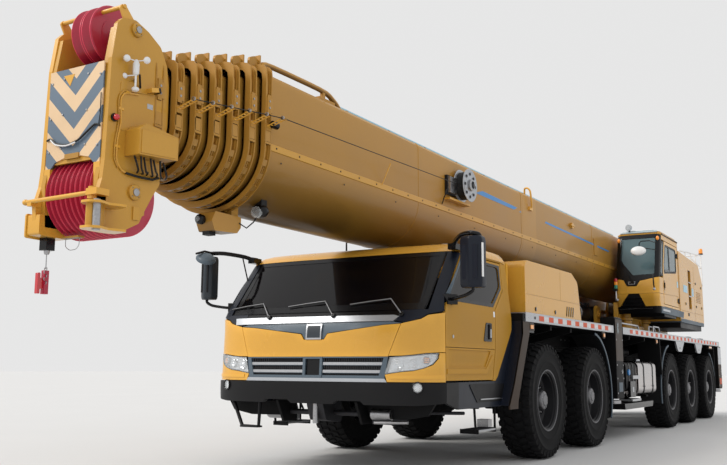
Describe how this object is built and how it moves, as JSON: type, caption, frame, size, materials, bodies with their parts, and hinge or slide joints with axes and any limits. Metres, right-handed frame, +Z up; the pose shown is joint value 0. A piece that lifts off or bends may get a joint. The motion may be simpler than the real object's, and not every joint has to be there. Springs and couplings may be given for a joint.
{
  "type": "five-axle mobile crane",
  "caption": "All-terrain mobile crane: wheeled carrier with driver's cab and outriggers, slewing superstructure with operator's cab, luffing telescopic boom with sheave head.",
  "frame": {"origin": "on the floor, at the middle of the crane's overall length and width", "axes": "-Y is the way the crane drives, +X its left side, +Z up"},
  "size_m": [3.6, 18.47, 3.8311],
  "materials": {
    "yellow_paint": "gloss",
    "boom_paint": "satin",
    "black_paint": "satin",
    "steel": "machined",
    "grey_plate": "satin",
    "tyre": "matte",
    "cast_iron": "cast",
    "tinted_glass": "polished",
    "polished_aluminium": "polished",
    "sheave_red": "satin",
    "black_plastic": "grained"
  },
  "bodies": {
    "carrier": {"chassis_frame": "black_paint", "deck": "black_paint", "driver_cab": "yellow_paint", "windscreen": "tinted_glass", "cab_interior": "black_plastic", "front_bumper": "black_paint", "mirror_left": "black_plastic", "mirror_right": "black_plastic", "engine_hood": "yellow_paint", "engine_block": "cast_iron", "fuel_tank": "polished_aluminium", "hydraulic_tank": "black_paint", "slew_ring": "steel", "front_axles": "black_paint", "rear_axles": "black_paint"},
    "cab_door_left": {"cab_door_left": "yellow_paint"},
    "cab_door_right": {"cab_door_right": "yellow_paint"},
    "steering_knuckle_1_left": {"steering_knuckle_1_left": "black_paint"},
    "steering_knuckle_1_right": {"steering_knuckle_1_right": "black_paint"},
    "steering_knuckle_2_left": {"steering_knuckle_2_left": "black_paint"},
    "steering_knuckle_2_right": {"steering_knuckle_2_right": "black_paint"},
    "wheel_1_left": {"wheel_1_left": "tyre"},
    "wheel_1_right": {"wheel_1_right": "tyre"},
    "wheel_2_left": {"wheel_2_left": "tyre"},
    "wheel_2_right": {"wheel_2_right": "tyre"},
    "wheel_3_left": {"wheel_3_left": "tyre"},
    "wheel_3_right": {"wheel_3_right": "tyre"},
    "wheel_4_left": {"wheel_4_left": "tyre"},
    "wheel_4_right": {"wheel_4_right": "tyre"},
    "wheel_5_left": {"wheel_5_left": "tyre"},
    "wheel_5_right": {"wheel_5_right": "tyre"},
    "outrigger_beam_front_left": {"outrigger_beam_front_left": "black_paint"},
    "outrigger_jack_front_left": {"outrigger_jack_front_left": "steel"},
    "outrigger_beam_front_right": {"outrigger_beam_front_right": "black_paint"},
    "outrigger_jack_front_right": {"outrigger_jack_front_right": "steel"},
    "outrigger_beam_rear_left": {"outrigger_beam_rear_left": "black_paint"},
    "outrigger_jack_rear_left": {"outrigger_jack_rear_left": "steel"},
    "outrigger_beam_rear_right": {"outrigger_beam_rear_right": "black_paint"},
    "outrigger_jack_rear_right": {"outrigger_jack_rear_right": "steel"},
    "superstructure": {"turntable": "yellow_paint", "operator_cab": "yellow_paint", "operator_windscreen": "tinted_glass", "operator_seat": "black_plastic", "superstructure_hood_left": "yellow_paint", "superstructure_hood_right": "yellow_paint"},
    "operator_cab_door": {"operator_cab_door": "yellow_paint"},
    "hoist_winch_drum": {"hoist_winch_drum": "steel"},
    "boom_base": {"boom_base_section": "boom_paint"},
    "luff_cylinder_barrel": {"luff_cylinder_barrel": "steel"},
    "luff_cylinder_rod": {"luff_cylinder_rod": "steel"},
    "boom_section_1": {"boom_section_1": "boom_paint"},
    "boom_section_2": {"boom_section_2": "boom_paint"},
    "boom_section_3": {"boom_section_3": "boom_paint"},
    "boom_section_4": {"boom_section_4": "boom_paint"},
    "boom_section_5": {"boom_section_5": "boom_paint"},
    "boom_section_6": {"boom_section_6": "boom_paint", "boom_head": "boom_paint"},
    "upper_sheaves": {"upper_sheaves": "sheave_red"},
    "lower_sheaves": {"lower_sheaves": "sheave_red"},
    "cable_reel": {"cable_reel": "grey_plate"}
  },
  "joints": [
    {"name": "cab_door_left_hinge", "type": "hinge", "parent": "carrier", "child": "cab_door_left", "pos_m": [1.38, -5.585, 1.4], "axis": [0, 0, -1], "range_deg": [0, 70]},
    {"name": "cab_door_right_hinge", "type": "hinge", "parent": "carrier", "child": "cab_door_right", "pos_m": [-1.38, -5.585, 1.4], "axis": [0, 0, 1], "range_deg": [0, 70]},
    {"name": "steer_1_left", "type": "hinge", "parent": "carrier", "child": "steering_knuckle_1_left", "pos_m": [1, -3, 0.685], "axis": [0, 0, 1], "range_deg": [-30, 30]},
    {"name": "steer_1_right", "type": "hinge", "parent": "carrier", "child": "steering_knuckle_1_right", "pos_m": [-1, -3, 0.685], "axis": [0, 0, 1], "range_deg": [-30, 30]},
    {"name": "steer_2_left", "type": "hinge", "parent": "carrier", "child": "steering_knuckle_2_left", "pos_m": [1, -1.07, 0.685], "axis": [0, 0, 1], "range_deg": [-22, 22]},
    {"name": "steer_2_right", "type": "hinge", "parent": "carrier", "child": "steering_knuckle_2_right", "pos_m": [-1, -1.07, 0.685], "axis": [0, 0, 1], "range_deg": [-22, 22]},
    {"name": "wheel_1_left_spin", "type": "hinge", "parent": "steering_knuckle_1_left", "child": "wheel_1_left", "pos_m": [1.3, -3, 0.685], "axis": [1, 0, 0], "continuous": true},
    {"name": "wheel_1_right_spin", "type": "hinge", "parent": "steering_knuckle_1_right", "child": "wheel_1_right", "pos_m": [-1.3, -3, 0.685], "axis": [1, 0, 0], "continuous": true},
    {"name": "wheel_2_left_spin", "type": "hinge", "parent": "steering_knuckle_2_left", "child": "wheel_2_left", "pos_m": [1.3, -1.07, 0.685], "axis": [1, 0, 0], "continuous": true},
    {"name": "wheel_2_right_spin", "type": "hinge", "parent": "steering_knuckle_2_right", "child": "wheel_2_right", "pos_m": [-1.3, -1.07, 0.685], "axis": [1, 0, 0], "continuous": true},
    {"name": "wheel_3_left_spin", "type": "hinge", "parent": "carrier", "child": "wheel_3_left", "pos_m": [1.3, 3.8, 0.685], "axis": [1, 0, 0], "continuous": true},
    {"name": "wheel_3_right_spin", "type": "hinge", "parent": "carrier", "child": "wheel_3_right", "pos_m": [-1.3, 3.8, 0.685], "axis": [1, 0, 0], "continuous": true},
    {"name": "wheel_4_left_spin", "type": "hinge", "parent": "carrier", "child": "wheel_4_left", "pos_m": [1.3, 5.57, 0.685], "axis": [1, 0, 0], "continuous": true},
    {"name": "wheel_4_right_spin", "type": "hinge", "parent": "carrier", "child": "wheel_4_right", "pos_m": [-1.3, 5.57, 0.685], "axis": [1, 0, 0], "continuous": true},
    {"name": "wheel_5_left_spin", "type": "hinge", "parent": "carrier", "child": "wheel_5_left", "pos_m": [1.3, 7.57, 0.685], "axis": [1, 0, 0], "continuous": true},
    {"name": "wheel_5_right_spin", "type": "hinge", "parent": "carrier", "child": "wheel_5_right", "pos_m": [-1.3, 7.57, 0.685], "axis": [1, 0, 0], "continuous": true},
    {"name": "outrigger_beam_front_left_slide", "type": "slide", "parent": "carrier", "child": "outrigger_beam_front_left", "axis": [1, 0, 0], "range_m": [0, 2]},
    {"name": "outrigger_jack_front_left_slide", "type": "slide", "parent": "outrigger_beam_front_left", "child": "outrigger_jack_front_left", "axis": [0, 0, -1], "range_m": [0, 0.535]},
    {"name": "outrigger_beam_front_right_slide", "type": "slide", "parent": "carrier", "child": "outrigger_beam_front_right", "axis": [-1, 0, 0], "range_m": [0, 2]},
    {"name": "outrigger_jack_front_right_slide", "type": "slide", "parent": "outrigger_beam_front_right", "child": "outrigger_jack_front_right", "axis": [0, 0, -1], "range_m": [0, 0.535]},
    {"name": "outrigger_beam_rear_left_slide", "type": "slide", "parent": "carrier", "child": "outrigger_beam_rear_left", "axis": [1, 0, 0], "range_m": [0, 2]},
    {"name": "outrigger_jack_rear_left_slide", "type": "slide", "parent": "outrigger_beam_rear_left", "child": "outrigger_jack_rear_left", "axis": [0, 0, -1], "range_m": [0, 0.535]},
    {"name": "outrigger_beam_rear_right_slide", "type": "slide", "parent": "carrier", "child": "outrigger_beam_rear_right", "axis": [-1, 0, 0], "range_m": [0, 2]},
    {"name": "outrigger_jack_rear_right_slide", "type": "slide", "parent": "outrigger_beam_rear_right", "child": "outrigger_jack_rear_right", "axis": [0, 0, -1], "range_m": [0, 0.535]},
    {"name": "slew", "type": "hinge", "parent": "carrier", "child": "superstructure", "pos_m": [0, 4.3, 1.79], "axis": [0, 0, 1], "continuous": true},
    {"name": "operator_door_hinge", "type": "hinge", "parent": "superstructure", "child": "operator_cab_door", "pos_m": [1.46, 4.894, 2.9], "axis": [0, 0, 1], "range_deg": [0, 80]},
    {"name": "hoist_winch_spin", "type": "hinge", "parent": "superstructure", "child": "hoist_winch_drum", "pos_m": [0, 7, 2.36], "axis": [1, 0, 0], "continuous": true},
    {"name": "boom_luff", "type": "hinge", "parent": "superstructure", "child": "boom_base", "pos_m": [0, 6.3, 3.05], "axis": [-1, 0, 0], "range_deg": [0, 80]},
    {"name": "luff_cylinder_swing", "type": "hinge", "parent": "superstructure", "child": "luff_cylinder_barrel", "pos_m": [0, 3.5, 2.1], "axis": [-1, 0, 0], "range_deg": [0, 94.29]},
    {"name": "luff_cylinder_stroke", "type": "slide", "parent": "luff_cylinder_barrel", "child": "luff_cylinder_rod", "axis": [0, -1, 0], "range_m": [0, 3.4974]},
    {"name": "telescope_1", "type": "slide", "parent": "boom_base", "child": "boom_section_1", "axis": [0, -1, 0], "range_m": [0, 10]},
    {"name": "telescope_2", "type": "slide", "parent": "boom_section_1", "child": "boom_section_2", "axis": [0, -1, 0], "range_m": [0, 10]},
    {"name": "telescope_3", "type": "slide", "parent": "boom_section_2", "child": "boom_section_3", "axis": [0, -1, 0], "range_m": [0, 10]},
    {"name": "telescope_4", "type": "slide", "parent": "boom_section_3", "child": "boom_section_4", "axis": [0, -1, 0], "range_m": [0, 10]},
    {"name": "telescope_5", "type": "slide", "parent": "boom_section_4", "child": "boom_section_5", "axis": [0, -1, 0], "range_m": [0, 10]},
    {"name": "telescope_6", "type": "slide", "parent": "boom_section_5", "child": "boom_section_6", "axis": [0, -1, 0], "range_m": [0, 10]},
    {"name": "upper_sheaves_spin", "type": "hinge", "parent": "boom_section_6", "child": "upper_sheaves", "pos_m": [0, -8.8, 3.6], "axis": [1, 0, 0], "continuous": true},
    {"name": "lower_sheaves_spin", "type": "hinge", "parent": "boom_section_6", "child": "lower_sheaves", "pos_m": [0, -8.755, 2.345], "axis": [1, 0, 0], "continuous": true},
    {"name": "cable_reel_spin", "type": "hinge", "parent": "boom_base", "child": "cable_reel", "pos_m": [0.65, -3.47, 3.32], "axis": [1, 0, 0], "continuous": true}
  ],
  "couplings": [
    {"joint": "steer_1_right", "follows": "steer_1_left", "ratio": 1},
    {"joint": "steer_2_left", "follows": "steer_1_left", "ratio": 0.72},
    {"joint": "steer_2_right", "follows": "steer_1_left", "ratio": 0.72},
    {"joint": "luff_cylinder_swing", "follows": "boom_luff", "ratio": 1.1785},
    {"joint": "luff_cylinder_stroke", "follows": "boom_luff", "m_per_rad": 2.5041}
  ]
}
